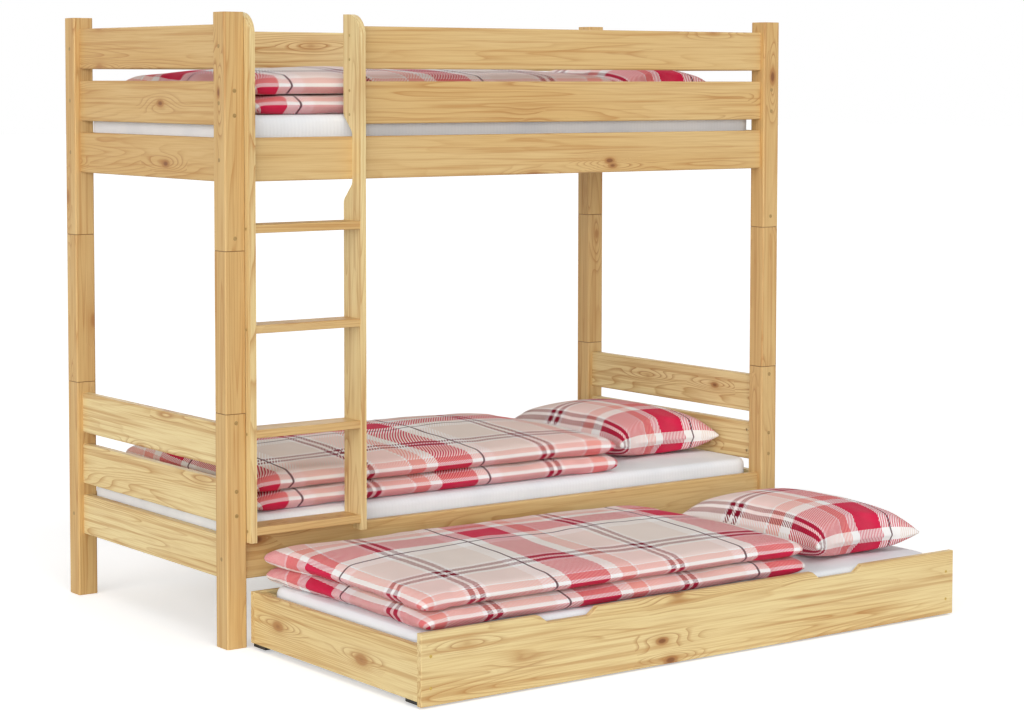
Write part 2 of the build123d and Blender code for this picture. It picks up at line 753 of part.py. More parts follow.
for face, (end, inward) in zip(("front", "back"), trundle_ends.items()):
    for side, s in sides.items():
        place = (s * wheel_x, end + inward * wheel_inset, axle_z)
        with BuildPart() as wheel:
            with Locations(place):
                Cylinder(wheel_diameter / 2, wheel_width, rotation=(0, 90, 0))
            fillet(wheel.edges().filter_by(GeomType.CIRCLE), wheel_edge)
            with Locations(place):
                Cylinder(axle_diameter / 2 + axle_clear, wheel_width + 1, rotation=(0, 90, 0),
                         mode=Mode.SUBTRACT)
        save(wheel, f"wheel_{face}_{side}")

# ---------------------------------------------------------------- bedding of the trundle
mattress_end = side_inner - trundle_mattress_end_gap
trundle_mattress = make_mattress((-mattress_end, mattress_end),
                                 (front_inner + trundle_mattress_side_gap,
                                  back_inner - trundle_mattress_side_gap),
                                 (trundle_slat_level, trundle_mattress_top),
                                 trundle_mattress_corner)
save(trundle_mattress, "mattress_trundle")

soft_base = trundle_mattress_top + rest_gap
duvet_x = -trundle_half + trundle_duvet_start
duvet_y = trundle_front + trundle_duvet_front
duvet = make_duvet((duvet_x, duvet_x + duvet_length), (duvet_y, duvet_y + duvet_depth),
                   (soft_base, soft_base + trundle_duvet_thick))
save(duvet, "duvet_trundle")
pillow_x = trundle_half - trundle_pillow_end
pillow_y = trundle_front + trundle_pillow_front
pillow = make_pillow((pillow_x - pillow_width, pillow_x), (pillow_y, pillow_y + pillow_length),
                     (soft_base, soft_base + pillow_thick))
save(pillow, "pillow_trundle")
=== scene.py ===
"""Looks of the pine bunk bed and its trundle: wood, bedding, light and camera."""
import math

import bmesh
import bpy
from mathutils import Matrix, Vector, noise


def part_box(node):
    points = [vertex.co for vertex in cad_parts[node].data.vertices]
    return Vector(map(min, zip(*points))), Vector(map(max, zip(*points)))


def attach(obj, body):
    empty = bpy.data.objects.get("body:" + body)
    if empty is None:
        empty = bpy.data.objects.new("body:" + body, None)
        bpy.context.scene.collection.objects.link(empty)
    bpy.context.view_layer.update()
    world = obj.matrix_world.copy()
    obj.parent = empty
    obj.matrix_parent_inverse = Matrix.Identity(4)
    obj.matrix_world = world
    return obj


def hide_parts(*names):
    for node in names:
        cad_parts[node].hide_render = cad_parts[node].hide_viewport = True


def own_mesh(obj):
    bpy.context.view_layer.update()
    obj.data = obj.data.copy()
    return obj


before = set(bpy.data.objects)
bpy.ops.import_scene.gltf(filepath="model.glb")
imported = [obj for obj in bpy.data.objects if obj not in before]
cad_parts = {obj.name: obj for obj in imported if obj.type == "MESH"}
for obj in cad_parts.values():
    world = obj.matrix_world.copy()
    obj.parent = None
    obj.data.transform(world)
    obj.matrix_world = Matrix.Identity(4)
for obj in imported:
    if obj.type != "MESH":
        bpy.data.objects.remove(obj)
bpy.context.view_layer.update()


# ---------------------------------------------------------------- node helpers
def srgb(text):
    """Linear colour with alpha from a hex colour such as d6b47d."""
    parts = [int(text[i:i + 2], 16) / 255 for i in (0, 2, 4)]
    linear = [c / 12.92 if c <= 0.04045 else ((c + 0.055) / 1.055) ** 2.4 for c in parts]
    return (*linear, 1.0)


class Surface:
    """A Principled material and short ways to add its nodes."""

    def __init__(self, name, **constants):
        self.material = bpy.data.materials.new(name)
        self.material.use_nodes = True
        self.tree = self.material.node_tree
        self.shader = self.tree.nodes["Principled BSDF"]
        for socket, value in constants.items():
            self.shader.inputs[socket.replace("_", " ")].default_value = value

    def put(self, node, socket, value):
        """Set a socket, or link it when the value is another node's socket."""
        if isinstance(value, bpy.types.NodeSocket):
            self.tree.links.new(value, node.inputs[socket])
        else:
            node.inputs[socket].default_value = value

    def node(self, kind, inputs, out=0, **options):
        """New node with its options and inputs; gives one of its outputs."""
        made = self.tree.nodes.new("ShaderNode" + kind)
        for option, value in options.items():
            setattr(made, option, value)
        for socket, value in inputs.items():
            self.put(made, socket, value)
        return made.outputs[out]

    def calc(self, operation, *values):
        """Math node."""
        return self.node("Math", dict(enumerate(values)), operation=operation)

    def vector(self, operation, *values):
        """Vector math node."""
        return self.node("VectorMath", dict(enumerate(values)), operation=operation)

    def parts(self, vector):
        """The three numbers of a vector, as sockets."""
        made = self.tree.nodes.new("ShaderNodeSeparateXYZ")
        self.put(made, 0, vector)
        return made.outputs

    def blend(self, factor, first, second):
        """Mix two colours."""
        made = self.tree.nodes.new("ShaderNodeMix")
        made.data_type = "RGBA"
        for index, value in ((0, factor), (6, first), (7, second)):
            self.put(made, index, value)
        return made.outputs[2]

    def ramp(self, value, stops, interpolation="LINEAR"):
        """Colour ramp from (place, colour) pairs."""
        made = self.tree.nodes.new("ShaderNodeValToRGB")
        made.color_ramp.interpolation = interpolation
        elements = made.color_ramp.elements
        while len(elements) < len(stops):
            elements.new(0.5)
        for element, (place, _) in zip(elements, stops):
            element.position = place
        for element, (_, colour) in zip(elements, stops):
            element.color = colour
        self.put(made, 0, value)
        return made.outputs[0]

    def step(self, value, low, high, to_low=0.0, to_high=1.0):
        """Smooth change from one value to another as the input goes from low to high."""
        inputs = {0: value, 1: low, 2: high, 3: to_low, 4: to_high}
        return self.node("MapRange", inputs, interpolation_type="SMOOTHSTEP")

    def bump(self, height, strength, distance):
        """Drive the shader's normal from a height."""
        inputs = {"Height": height, "Strength": strength, "Distance": distance}
        self.put(self.shader, "Normal", self.node("Bump", inputs))


# ---------------------------------------------------------------- pine
# colours of the wood; pale also serves as painted light that lifts the shade on the back boards
WOOD = {"light": srgb("e6d29b"), "middle": srgb("dabd80"), "late": srgb("b5844a"),
        "ring": srgb("a87544"), "knot": srgb("80502e"), "amber": srgb("c79c62"),
        "seam": srgb("7d5a36"), "pale": srgb("ecdcab")}
GRAIN_SPREAD = (9.0, 9.0, 9.0)      # how far apart in the log two boards are cut, in metres
KNOT_SPACE = (4.0, 8.2)             # cells for knots per metre along the grain and across it
EYE_LENGTH = 0.42                   # a knot's eye is drawn out along the grain by this share
YEARS = 40.0                        # year rings over the range of the ring noise
# a year ring: pale early wood, then darker late wood that ends at a sharp edge
YEAR = [(0.0, 0.02), (0.55, 0.05), (0.84, 0.6), (0.93, 1.0), (1.0, 0.02)]
SEAM_EDGE = (0.0009, 0.0016)        # half width of a joint's shadow line and of its soft edge


def grey(value):
    """Colour of equal parts."""
    return (value, value, value, 1.0)


def pine(name, along, seed, lane=None, pale=0.0, amber=0.0, seams=()):
    """Lacquered pine with its grain along an axis.

    lane = (axis, pitch, start) tells boards of one node apart, pale and amber lighten or deepen
    the tone (on the back boards pale is painted light that lifts the shade they stand in), and
    seams are the heights of the shadow lines where posts are jointed.
    """
    s = Surface(name, Roughness=0.46, Specular_IOR_Level=0.35)
    place = s.node("TexCoord", {}, out=3)
    split = s.parts(place)
    if lane:
        axis, pitch, start = lane
        number = s.calc("FLOOR", s.calc("DIVIDE", s.calc("SUBTRACT", split[axis], start), pitch))
        number = s.calc("ADD", number, seed)
    else:
        number = seed
    shift = s.node("TexWhiteNoise", {1: number}, out=1, noise_dimensions="1D")
    tone = s.parts(shift)[1]
    place = s.vector("MULTIPLY_ADD", shift, GRAIN_SPREAD, place)

    def stretched(long_scale, cross_scale):
        """Coordinates drawn out along the grain."""
        scales = [cross_scale] * 3
        scales[along] = long_scale
        return s.vector("MULTIPLY", place, tuple(scales))

    def noise_of(long_scale, cross_scale, detail=2.0, **more):
        """Noise drawn out along the grain."""
        inputs = {"Vector": stretched(long_scale, cross_scale), "Scale": 1.0, "Detail": detail}
        return s.node("TexNoise", {**inputs, **more})

    # knots: one to a cell, of random size, with an eye of closed rings round it
    knot_space = stretched(*KNOT_SPACE)
    cells = s.node("TexVoronoi", {"Vector": knot_space, "Scale": 1.0}, out=0)
    cell_links = cells.node
    flatten = [1.0] * 3
    flatten[along] = EYE_LENGTH
    apart = s.vector("SUBTRACT", knot_space, cell_links.outputs["Position"])
    apart = s.vector("MULTIPLY", apart, tuple(flatten))
    eye = s.node("VectorMath", {0: apart}, out=1, operation="LENGTH")
    chance = s.parts(cell_links.outputs["Color"])[0]
    knots = s.calc("DIVIDE", cells, s.calc("ADD", s.calc("MULTIPLY", chance, 0.9), 0.65))

    # year rings, bent round the knots
    swirl = s.step(eye, 0.0, 0.3, 0.1, 0.0)
    rings = noise_of(0.3, 6.6, Roughness=0.42)
    wobble = noise_of(5.0, 30.0, 1.0)
    field = s.calc("ADD", s.calc("ADD", rings, swirl), s.calc("MULTIPLY", wobble, 0.02))
    year = s.calc("FRACT", s.calc("MULTIPLY", field, YEARS))
    late = s.ramp(year, [(spot, grey(value)) for spot, value in YEAR])

    # tone of the board
    broad = noise_of(1.1, 9.0)
    ground = s.blend(s.step(broad, 0.3, 0.7), WOOD["light"], WOOD["middle"])
    ground = s.blend(s.calc("MULTIPLY", tone, 0.35), ground, WOOD["middle"])
    if amber:
        ground = s.blend(amber, ground, WOOD["amber"])
    if pale:
        ground = s.blend(pale, ground, WOOD["pale"])

    # rings, streaks and fibres over it, then the knots and the joints
    strength = s.step(broad, 0.38, 0.66, 0.12, 0.85)
    colour = s.blend(s.calc("MULTIPLY", late, strength), ground, WOOD["late"])
    near_eye = s.step(eye, 0.12, 0.42, 1.0, 0.0)
    flame = s.calc("MULTIPLY", s.calc("MULTIPLY", late, near_eye), 0.75)
    colour = s.blend(flame, colour, WOOD["ring"])
    streak = noise_of(1.5, 85.0)
    fibre = noise_of(7.0, 420.0)
    for share, paint in ((s.step(streak, 0.5, 0.68, 0.0, 0.55), "late"),
                         (s.step(fibre, 0.42, 0.66, 0.0, 0.22), "late"),
                         (s.step(knots, 0.06, 0.24, 0.5, 0.0), "late"),
                         (s.step(knots, 0.09, 0.13, 0.75, 0.0), "ring"),
                         (s.step(knots, 0.05, 0.085, 0.9, 0.0), "knot")):
        colour = s.blend(share, colour, WOOD[paint])
    for height in seams:
        off = s.calc("ABSOLUTE", s.calc("SUBTRACT", split[2], height))
        colour = s.blend(s.step(off, *SEAM_EDGE, 0.8, 0.0), colour, WOOD["seam"])
    s.put(s.shader, "Base Color", colour)
    s.put(s.shader, "Roughness", s.step(fibre, 0.3, 0.7, 0.42, 0.55))
    relief = s.calc("ADD", s.calc("MULTIPLY", fibre, 0.6), s.calc("MULTIPLY", late, 0.4))
    s.bump(relief, 0.12, 0.0006)
    return s.material


# ---------------------------------------------------------------- fabrics
RED = {"white": srgb("f1efee"), "crimson": srgb("cf2149"), "line": srgb("4c0a24"),
       "salmon": srgb("e99f95"), "blush": srgb("f0d2cc"), "sand": srgb("e6dad2"),
       "wine": srgb("7d0824")}
REPEAT = 0.679              # the check repeats after this length, in metres
# centimetres of the repeat at which each stripe begins
BANDS = [(0.0, "wine"), (1.8, "white"), (3.0, "wine"), (4.8, "white"), (6.3, "sand"),
         (23.3, "white"), (32.2, "crimson"), (45.4, "white"), (49.7, "salmon"), (55.0, "white"),
         (55.7, "blush"), (66.5, "white")]
WINE_MIDDLE = 0.024         # middle of the double stripe
LINE = 0.279                # the single dark line
LINE_HALF = 0.0055          # half its width, as a share of the repeat


def plaid(name, twill_pitch, twill_slope):
    """Woven check on the piece's own UV map, in metres."""
    s = Surface(name, Roughness=0.9, Specular_IOR_Level=0.12, Sheen_Weight=0.04,
                Sheen_Roughness=0.5)
    cloth = s.node("UVMap", {}, uv_map="weave")
    split = s.parts(cloth)
    stops = [(place / (100 * REPEAT), RED[colour]) for place, colour in BANDS]
    threads = []
    lines = []
    for way in (split[0], split[1]):
        phase = s.calc("FRACT", s.calc("DIVIDE", way, REPEAT))
        threads.append(s.ramp(phase, stops, "CONSTANT"))
        near = s.calc("ABSOLUTE", s.calc("SUBTRACT", phase, LINE / REPEAT))
        lines.append(s.calc("LESS_THAN", near, LINE_HALF))

    # twill: diagonals that show one set of threads, then the other
    diagonal = s.calc("MULTIPLY_ADD", split[1], twill_slope, split[0])
    twill = s.calc("PINGPONG", s.calc("DIVIDE", diagonal, twill_pitch), 0.5)
    colour = s.blend(s.step(twill, 0.2, 0.3), threads[0], threads[1])
    colour = s.blend(s.calc("MULTIPLY", s.calc("MAXIMUM", *lines), 0.88), colour, RED["line"])
    wide = s.vector("MULTIPLY", cloth, (9.0, 9.0, 9.0))
    fade = s.node("TexNoise", {"Vector": wide, "Scale": 1.0, "Detail": 3.0})
    colour = s.blend(s.step(fade, 0.4, 0.75, 0.0, 0.06), colour, srgb("b9a9a6"))
    s.put(s.shader, "Base Color", colour)
    warp, weft = [s.node("TexWave", {"Vector": cloth, "Scale": 380.0, "Distortion": 0.6}, out=1,
                         bands_direction=way) for way in ("X", "Y")]
    relief = s.calc("ADD", s.calc("MULTIPLY", warp, weft), s.calc("MULTIPLY", fade, 2.0))
    s.bump(relief, 0.3, 0.0008)
    return s.material


def ticking(name):
    """White mattress cover with fine ribs and a faint change of tone."""
    s = Surface(name, Roughness=0.9, Specular_IOR_Level=0.2, Sheen_Weight=0.15,
                Sheen_Roughness=0.6)
    place = s.node("TexCoord", {}, out=3)
    ribs = s.node("TexWave", {"Vector": place, "Scale": 26.0, "Distortion": 0.5, "Detail": 1.0},
                  out=1, bands_direction="X")
    cross = s.node("TexWave", {"Vector": place, "Scale": 60.0, "Distortion": 0.8}, out=1,
                   bands_direction="Y")
    tone = s.node("TexNoise", {"Vector": place, "Scale": 6.0, "Detail": 3.0})
    colour = s.blend(s.step(tone, 0.35, 0.7), srgb("eceef1"), srgb("e4e7eb"))
    colour = s.blend(s.step(ribs, 0.2, 0.9, 0.0, 0.08), colour, srgb("d3d6dc"))
    s.put(s.shader, "Base Color", colour)
    s.bump(s.calc("ADD", ribs, s.calc("MULTIPLY", cross, 0.5)), 0.35, 0.001)
    return s.material


def plain_finish(name, colour, darker, scale, roughness, metallic=0.0):
    """Moulded plastic or plated steel with slight mottling."""
    s = Surface(name, Roughness=roughness, Metallic=metallic)
    place = s.node("TexCoord", {}, out=3)
    mottle = s.node("TexNoise", {"Vector": place, "Scale": scale, "Detail": 4.0})
    tint = s.blend(s.step(mottle, 0.35, 0.7), srgb(colour), srgb(darker))
    s.put(s.shader, "Base Color", tint)
    s.put(s.shader, "Roughness", s.step(mottle, 0.3, 0.7, roughness - 0.06, roughness + 0.08))
    s.bump(mottle, 0.15, 0.0003)
    return s.material


# ---------------------------------------------------------------- finishes of the CAD nodes
SLAT_WIDTH = 0.068
SLAT_GAPS = 13              # from the first slat to the last
LANE_MARGIN = 0.01          # a lane begins this far before its slat
BOARD_MARGIN = 0.018        # and this far below its end board

board_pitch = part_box("guard_middle_front_upper")[0][2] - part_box("rail_front_upper")[0][2]
joints = [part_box("post_front_left_lower")[1][2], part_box("post_front_left_upper")[0][2]]


def slat_lane(node):
    """Lane that tells the slats of a row apart."""
    low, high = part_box(node)
    return 0, (high[0] - low[0] - SLAT_WIDTH) / SLAT_GAPS, low[0] - LANE_MARGIN


zinc = plain_finish("zinc_plated_steel", "b9bbbd", "96999c", 60.0, 0.35, 1.0)
yellow_zinc = plain_finish("yellow_zinc_screws", "c8b078", "a88f58", 60.0, 0.4, 0.6)
cap_brown = plain_finish("cap_brown", "a98a55", "94753f", 300.0, 0.5)
plug_yellow = plain_finish("plug_yellow", "cfae5a", "b9963f", 300.0, 0.5)
tyre_black = plain_finish("wheel_black", "0d0d0e", "1b1b1c", 90.0, 0.42)
pin_wood = pine("beech_pin", 2, 3.7)
slat_wood = pine("slat_pine", 1, 11.0, slat_lane("slats_lower"), 0.25)
trundle_slat_wood = pine("trundle_slat_pine", 1, 17.0, slat_lane("trundle_slats"), 0.25)
cleat_wood = pine("cleat_pine", 0, 5.0, (2, 0.5, 0.0), 0.2)
batten_wood = pine("batten_pine", 2, 6.0, (0, 0.9, -0.45))


def dress(node, material):
    """Give a CAD node its material."""
    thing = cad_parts[node]
    thing.data.materials.clear()
    thing.data.materials.append(material)


def board_finish(node):
    """Grain axis and tone of a board or post, with painted light on the back boards, or None for
    what is dressed below.
    """
    shaded_back_board = node.startswith(("rail_back", "guard_")) and "_back_" in node
    if node.startswith("post_") and node != "post_pins":
        return 2, {"amber": 0.58, "seams": joints}
    if node.startswith("end_boards"):
        lane = (2, board_pitch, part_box(node)[0][2] - BOARD_MARGIN)
        tone = {"amber": 0.62} if node.endswith("upper") else {"pale": 0.35}
        return 1, {"lane": lane, **tone}
    # painted light: the back boards are made paler to lift the shade that the upper bunk and the
    # front posts cast on them
    if shaded_back_board:
        return 0, {"pale": 0.35}
    if node.startswith(("rail_", "guard_", "ladder_rung")):
        return 0, {"amber": 0.5}
    if node.startswith("ladder_stile"):
        return 2, {"pale": 0.25}
    if node in ("trundle_front", "trundle_back"):
        return 0, {"pale": 0.25}
    if node in ("trundle_left", "trundle_right"):
        return 1, {"pale": 0.2}
    return None


for number, node in enumerate(sorted(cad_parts)):
    finish = board_finish(node)
    if finish:
        along, tone = finish
        dress(node, pine("pine_" + node, along, number * 2.37 + 1.0, **tone))
for material, nodes in ((pin_wood, ("post_pins",)),
                        (slat_wood, ("slats_lower", "slats_upper")),
                        (trundle_slat_wood, ("trundle_slats",)),
                        (cleat_wood, ("slat_cleats",)),
                        (batten_wood, ("trundle_battens",)),
                        (zinc, ("frame_bolts", "barrel_nuts", "wheel_brackets")),
                        (yellow_zinc, ("wood_screws", "trundle_screws")),
                        (cap_brown, ("cover_caps",)),
                        (plug_yellow, ("trundle_plugs",)),
                        (tyre_black, ("wheel_front_left", "wheel_front_right",
                                      "wheel_back_left", "wheel_back_right"))):
    for node in nodes:
        dress(node, material)


# ---------------------------------------------------------------- castor housings
# blocks of one housing: middle as (outward, up) from the wheel's middle, and size
HOUSING = [((0.0, 0.0225), (0.025, 0.052, 0.003)),           # top plate
           ((-0.0115, 0.004), (0.002, 0.03, 0.037)),         # inner cheek
           ((0.0115, 0.0085), (0.002, 0.064, 0.028)),        # outer cheek, on the side panel
           ((0.0200, -0.0085), (0.018, 0.064, 0.009))]       # flange under the side panel
AXLE_RADIUS = 0.003
AXLE_LENGTH = 0.023

housing = bmesh.new()
for side, end in (("left", -1), ("right", 1)):
    for face in ("front", "back"):
        wheel_low, wheel_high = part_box(f"wheel_{face}_{side}")
        middle = [(wheel_low[i] + wheel_high[i]) / 2 for i in range(3)]
        for (outward, up), size in HOUSING:
            made = bmesh.ops.create_cube(housing, size=1.0)["verts"]
            bmesh.ops.scale(housing, vec=size, verts=made)
            spot = (middle[0] + end * outward, middle[1], middle[2] + up)
            bmesh.ops.translate(housing, vec=spot, verts=made)
        made = bmesh.ops.create_cone(housing, segments=20, radius1=AXLE_RADIUS,
                                     radius2=AXLE_RADIUS, depth=AXLE_LENGTH,
                                     cap_ends=True)["verts"]
        turn = Matrix.Rotation(math.pi / 2, 3, "Y")
        bmesh.ops.rotate(housing, matrix=turn, verts=made)
        bmesh.ops.translate(housing, vec=middle, verts=made)
bmesh.ops.bevel(housing, geom=housing.edges[:], offset=0.0005, segments=1, profile=0.5,
                affect="EDGES", material=-1)


# ---------------------------------------------------------------- soft pieces
EDGE_ANGLE = math.radians(36)       # on a roll, where its side gives way to top or bottom
TINY = 1e-6


def piece_of(shape, name, material, smooth=True):
    """Object from a bmesh, in place, with its material."""
    bmesh.ops.recalc_face_normals(shape, faces=shape.faces)
    mesh = bpy.data.meshes.new(name)
    shape.to_mesh(mesh)
    shape.free()
    piece = bpy.data.objects.new(name, mesh)
    bpy.context.scene.collection.objects.link(piece)
    mesh.materials.append(material)
    for face in mesh.polygons:
        face.use_smooth = smooth
    return piece


CLOTH = {"use_pressure": True, "quality": 5, "mass": 0.3, "tension_stiffness": 14,
         "compression_stiffness": 14, "shear_stiffness": 6, "bending_stiffness": 0.35}


def blow_up(piece, pressure, frames, cap, slack):
    """Cloth simulation under pressure, applied to the mesh. slack is the cloth's extra length as a
    share, and no point moves further than cap."""
    start = [v.co.copy() for v in piece.data.vertices]
    cloth = piece.modifiers.new("cloth", "CLOTH")
    for setting, value in CLOTH.items():
        setattr(cloth.settings, setting, value)
    cloth.settings.uniform_pressure_force = pressure
    cloth.settings.effector_weights.gravity = 0.0
    cloth.settings.shrink_min = -slack
    cloth.collision_settings.use_collision = False
    scene = bpy.context.scene
    for step in range(1, frames + 1):
        scene.frame_set(step)
    seen = piece.evaluated_get(bpy.context.evaluated_depsgraph_get())
    ends = [v.co.copy() for v in seen.data.vertices]
    piece.modifiers.remove(cloth)
    scene.frame_set(1)
    for vertex, was, now in zip(piece.data.vertices, start, ends):
        move = now - was
        if move.length > cap:
            move *= cap / move.length
        vertex.co = was + move


def fit_into(piece, low, high):
    """Stretch a piece slightly so that it fills a box."""
    points = [v.co for v in piece.data.vertices]
    for axis in range(3):
        least = min(p[axis] for p in points)
        most = max(p[axis] for p in points)
        rate = (high[axis] - low[axis]) / (most - least)
        for p in points:
            p[axis] = low[axis] + (p[axis] - least) * rate


def slab(length, width, height, corner, cell, rim=0.0, fabric=0.0):
    """Flat closed slab of small faces round the origin, with rounded corners.

    A rim rolls its edges over, and fabric is the length of cloth that goes round the roll from
    top to bottom. The UV map "weave", in metres, is the flat slab seen from above, and its rim
    follows the cloth round the roll.
    """
    shape = bmesh.new()
    bmesh.ops.create_grid(shape, x_segments=round(length / cell),
                          y_segments=round(width / cell), size=0.5)
    bmesh.ops.scale(shape, vec=(length, width, 1), verts=shape.verts)
    heart = Vector((length / 2 - corner, width / 2 - corner))

    def outward(co):
        """Point of the slab's heart next to a place, and the way from it to that place."""
        near = Vector((max(-heart.x, min(heart.x, co.x)), max(-heart.y, min(heart.y, co.y))))
        return near, Vector((co.x, co.y)) - near

    for vertex in shape.verts:
        near, out = outward(vertex.co)
        if out.x and out.y:
            out *= max(abs(out.x), abs(out.y)) / out.length
            vertex.co.xy = near + out
    walls = bmesh.ops.extrude_face_region(shape, geom=list(shape.faces))
    low = [g for g in walls["geom"] if isinstance(g, bmesh.types.BMVert)]
    bmesh.ops.translate(shape, vec=(0, 0, -height), verts=low)
    upright = [e for e in shape.edges if abs(e.verts[0].co.z - e.verts[1].co.z) > height / 2]
    bmesh.ops.subdivide_edges(shape, edges=upright, cuts=3, use_grid_fill=True)
    bmesh.ops.translate(shape, vec=(0, 0, height / 2), verts=shape.verts)
    bmesh.ops.recalc_face_normals(shape, faces=shape.faces)
    tall = height / 2
    sheet = {}
    for vertex in shape.verts:
        co = vertex.co
        near, out = outward(co)
        sheet[vertex] = co.xy.copy()
        if rim and out.length > corner - rim + TINY:
            inward = (corner - out.length) / rim
            if abs(co.z) > tall - TINY:
                angle = math.copysign(EDGE_ANGLE + (math.pi / 2 - EDGE_ANGLE) * inward, co.z)
            else:
                angle = EDGE_ANGLE * co.z / tall
            out.normalize()
            sheet[vertex] = near + out * (corner - rim + fabric * (0.5 - angle / math.pi))
            co.xy = near + out * (corner - rim * (1 - math.cos(angle)))
            co.z = tall * math.sin(angle)
    weave = shape.loops.layers.uv.new("weave")
    for face in shape.faces:
        for loop in face.loops:
            loop[weave].uv = sheet[loop.vert]
    return shape


def soften(piece, height, amount, seed):
    """Let a slab's top roll gently."""
    for vertex in piece.data.vertices:
        co = vertex.co
        if co.z > height * 0.3:
            roll = noise.noise(Vector((co.x * 5 + seed, co.y * 5, seed)))
            fine = noise.noise(Vector((co.x * 17, co.y * 12 + seed, seed)))
            co.z += amount * (roll + 0.35 * fine)


def smoothed(piece):
    """Bake one level of subdivision into the mesh."""
    finer = piece.modifiers.new("smooth", "SUBSURF")
    finer.levels = finer.render_levels = 1
    seen = piece.evaluated_get(bpy.context.evaluated_depsgraph_get())
    mesh = bpy.data.meshes.new_from_object(seen)
    piece.modifiers.remove(finer)
    piece.data = mesh
    for face in mesh.polygons:
        face.use_smooth = True


def copied(piece, name):
    """Copy of a soft piece with a mesh of its own."""
    twin = bpy.data.objects.new(name, piece.data.copy())
    bpy.context.scene.collection.objects.link(twin)
    return twin


def bedding(piece, body, stands_for):
    """Tell the frame what a soft piece rides on and stands for."""
    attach(piece, body)
    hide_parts(stands_for)


def size_of(node):
    """Length, depth and height of a CAD node's box."""
    low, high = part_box(node)
    return [high[i] - low[i] for i in range(3)]


castors = piece_of(housing, "castor_housings", tyre_black, False)
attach(castors, "trundle")
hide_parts("wheel_brackets")

duvet_cloth = plaid("plaid_duvet_cotton", 0.0098, 0.55)
pillow_cloth = plaid("plaid_pillow_cotton", 0.0085, 0.8)
mattress_cloth = ticking("mattress_cover")

DUVET = size_of("duvet_upper")
CROWN = 0.032               # rise of a duvet's middle over its rolled front edge
CELL = 0.0135               # size of a face before smoothing
DUVET_CORNER = 0.036
DUVET_ROLL = 0.032          # depth of the rolled edge
ROLL_FABRIC = 0.212
FLAT_SHARE = 0.8            # a layer is made this much flatter, and the pressure fills it

flat_tall = (DUVET[2] - CROWN) / 2 * FLAT_SHARE
layers = []
for seed, name in ((1.7, "duvet_under_layer"), (5.3, "duvet_over_layer")):
    shape = slab(DUVET[0] - 0.02, DUVET[1] - 0.02, flat_tall, DUVET_CORNER, CELL, DUVET_ROLL,
                 ROLL_FABRIC)
    layer = piece_of(shape, name, duvet_cloth)
    soften(layer, flat_tall, 0.006, seed)
    blow_up(layer, pressure=1.8, frames=16, cap=0.014, slack=0.02)
    smoothed(layer)
    layers.append(layer)

PILLOW = size_of("pillow_upper")
PILLOW_CLOTH = 1.04         # the flat case is this much larger than the filled pillow
DOME_POWER = 2.6            # how square the dome is in plan
DOME_ROUND = 0.55           # how full it is towards its edges
WAIST = (0.07, 0.05)        # how far the edges along y and along x pull in between corners

shape = slab(PILLOW[0] * PILLOW_CLOTH, PILLOW[1] * PILLOW_CLOTH, 0.006, 0.012, 0.0115)
for vertex in shape.verts:
    px = vertex.co.x / (PILLOW[0] * PILLOW_CLOTH / 2)
    py = vertex.co.y / (PILLOW[1] * PILLOW_CLOTH / 2)
    dome = max(0.0, (1 - abs(px) ** DOME_POWER) * (1 - abs(py) ** DOME_POWER)) ** DOME_ROUND
    vertex.co.z += math.copysign(dome * PILLOW[2] * 0.46, vertex.co.z)
    vertex.co.x *= 1 - WAIST[0] * (1 - py * py)
    vertex.co.y *= 1 - WAIST[1] * (1 - px * px)
pillow_form = piece_of(shape, "pillow_form", pillow_cloth)
blow_up(pillow_form, pressure=3.0, frames=16, cap=0.02, slack=0.03)
smoothed(pillow_form)

# per bed: distance from the duvet's left end to its first double stripe, the way the pattern
# runs, and how far the under layer's pattern is shifted
STRIPES = {"lower": (0.409, -1, 0.013), "upper": (0.409, -1, 0.013),
           "trundle": (0.2025, 1, 0.036)}
STRIPE_DEPTH = 0.172        # front edge to the double stripe along the bed
PILLOW_STRIPES = (0.026, 0.428)     # the same two places on a pillow
PILLOW_SCALE = (0.735, 1.13)        # its check is finer along the bed and wider across it
SEAM_LEVEL = 0.36           # a pillow's seam as a share of its height


def lay_pattern(duvet, bed, order):
    """Place a duvet layer's stripes, slightly waved as on laid cloth."""
    start, way, shift = STRIPES[bed]
    shift *= 1 - order
    for loop in duvet.data.uv_layers["weave"].data:
        along, deep = loop.uv[0] + DUVET[0] / 2, loop.uv[1] + DUVET[1] / 2
        wave = Vector((along * 2.3, deep * 3.4, 3.0 + order))
        lean = 0.32 * deep * deep - 0.14 * deep if deep > 0 else 0.0
        along -= lean + shift + 0.012 * noise.noise(wave)
        deep -= 0.013 * (1 - order) + 0.014 * noise.noise(wave + Vector((7, 1, 0)))
        loop.uv = (way * (along - start) + WINE_MIDDLE, deep - STRIPE_DEPTH + WINE_MIDDLE)


def lay_pillow_pattern(pillow):
    """Place a pillow's stripes."""
    for loop in pillow.data.uv_layers["weave"].data:
        along = loop.uv[0] + PILLOW[0] / 2 - PILLOW_STRIPES[0]
        deep = loop.uv[1] + PILLOW[1] / 2 - PILLOW_STRIPES[1]
        loop.uv = (WINE_MIDDLE - along / PILLOW_SCALE[0], WINE_MIDDLE + deep / PILLOW_SCALE[1])


def arch(piece, low, high, order, tall):
    """Raise a duvet layer's middle to the crown."""
    for vertex in piece.data.vertices:
        co = vertex.co
        across = 2 * (co.y - low[1]) / (high[1] - low[1]) - 1
        along = 2 * (co.x - low[0]) / (high[0] - low[0]) - 1
        share = max(0.0, 1 - across * across) * max(0.0, 1 - along ** 6)
        level = max(0.0, min(1.0, (co.z - low[2] - order * tall) / tall))
        co.z += CROWN * share * (0.5 * order + 0.5 * level)


def settle(pillow, low, high):
    """Flatten a pillow's underside on the mattress and raise its top."""
    stuffing = high[2] - low[2]
    for vertex in pillow.data.vertices:
        level = (vertex.co.z - low[2]) / stuffing - 0.5
        if level > 0:
            share = SEAM_LEVEL + level * 1.2
        else:
            share = SEAM_LEVEL * (1 - min(1.0, -2.4 * level))
        vertex.co.z = low[2] + stuffing * share


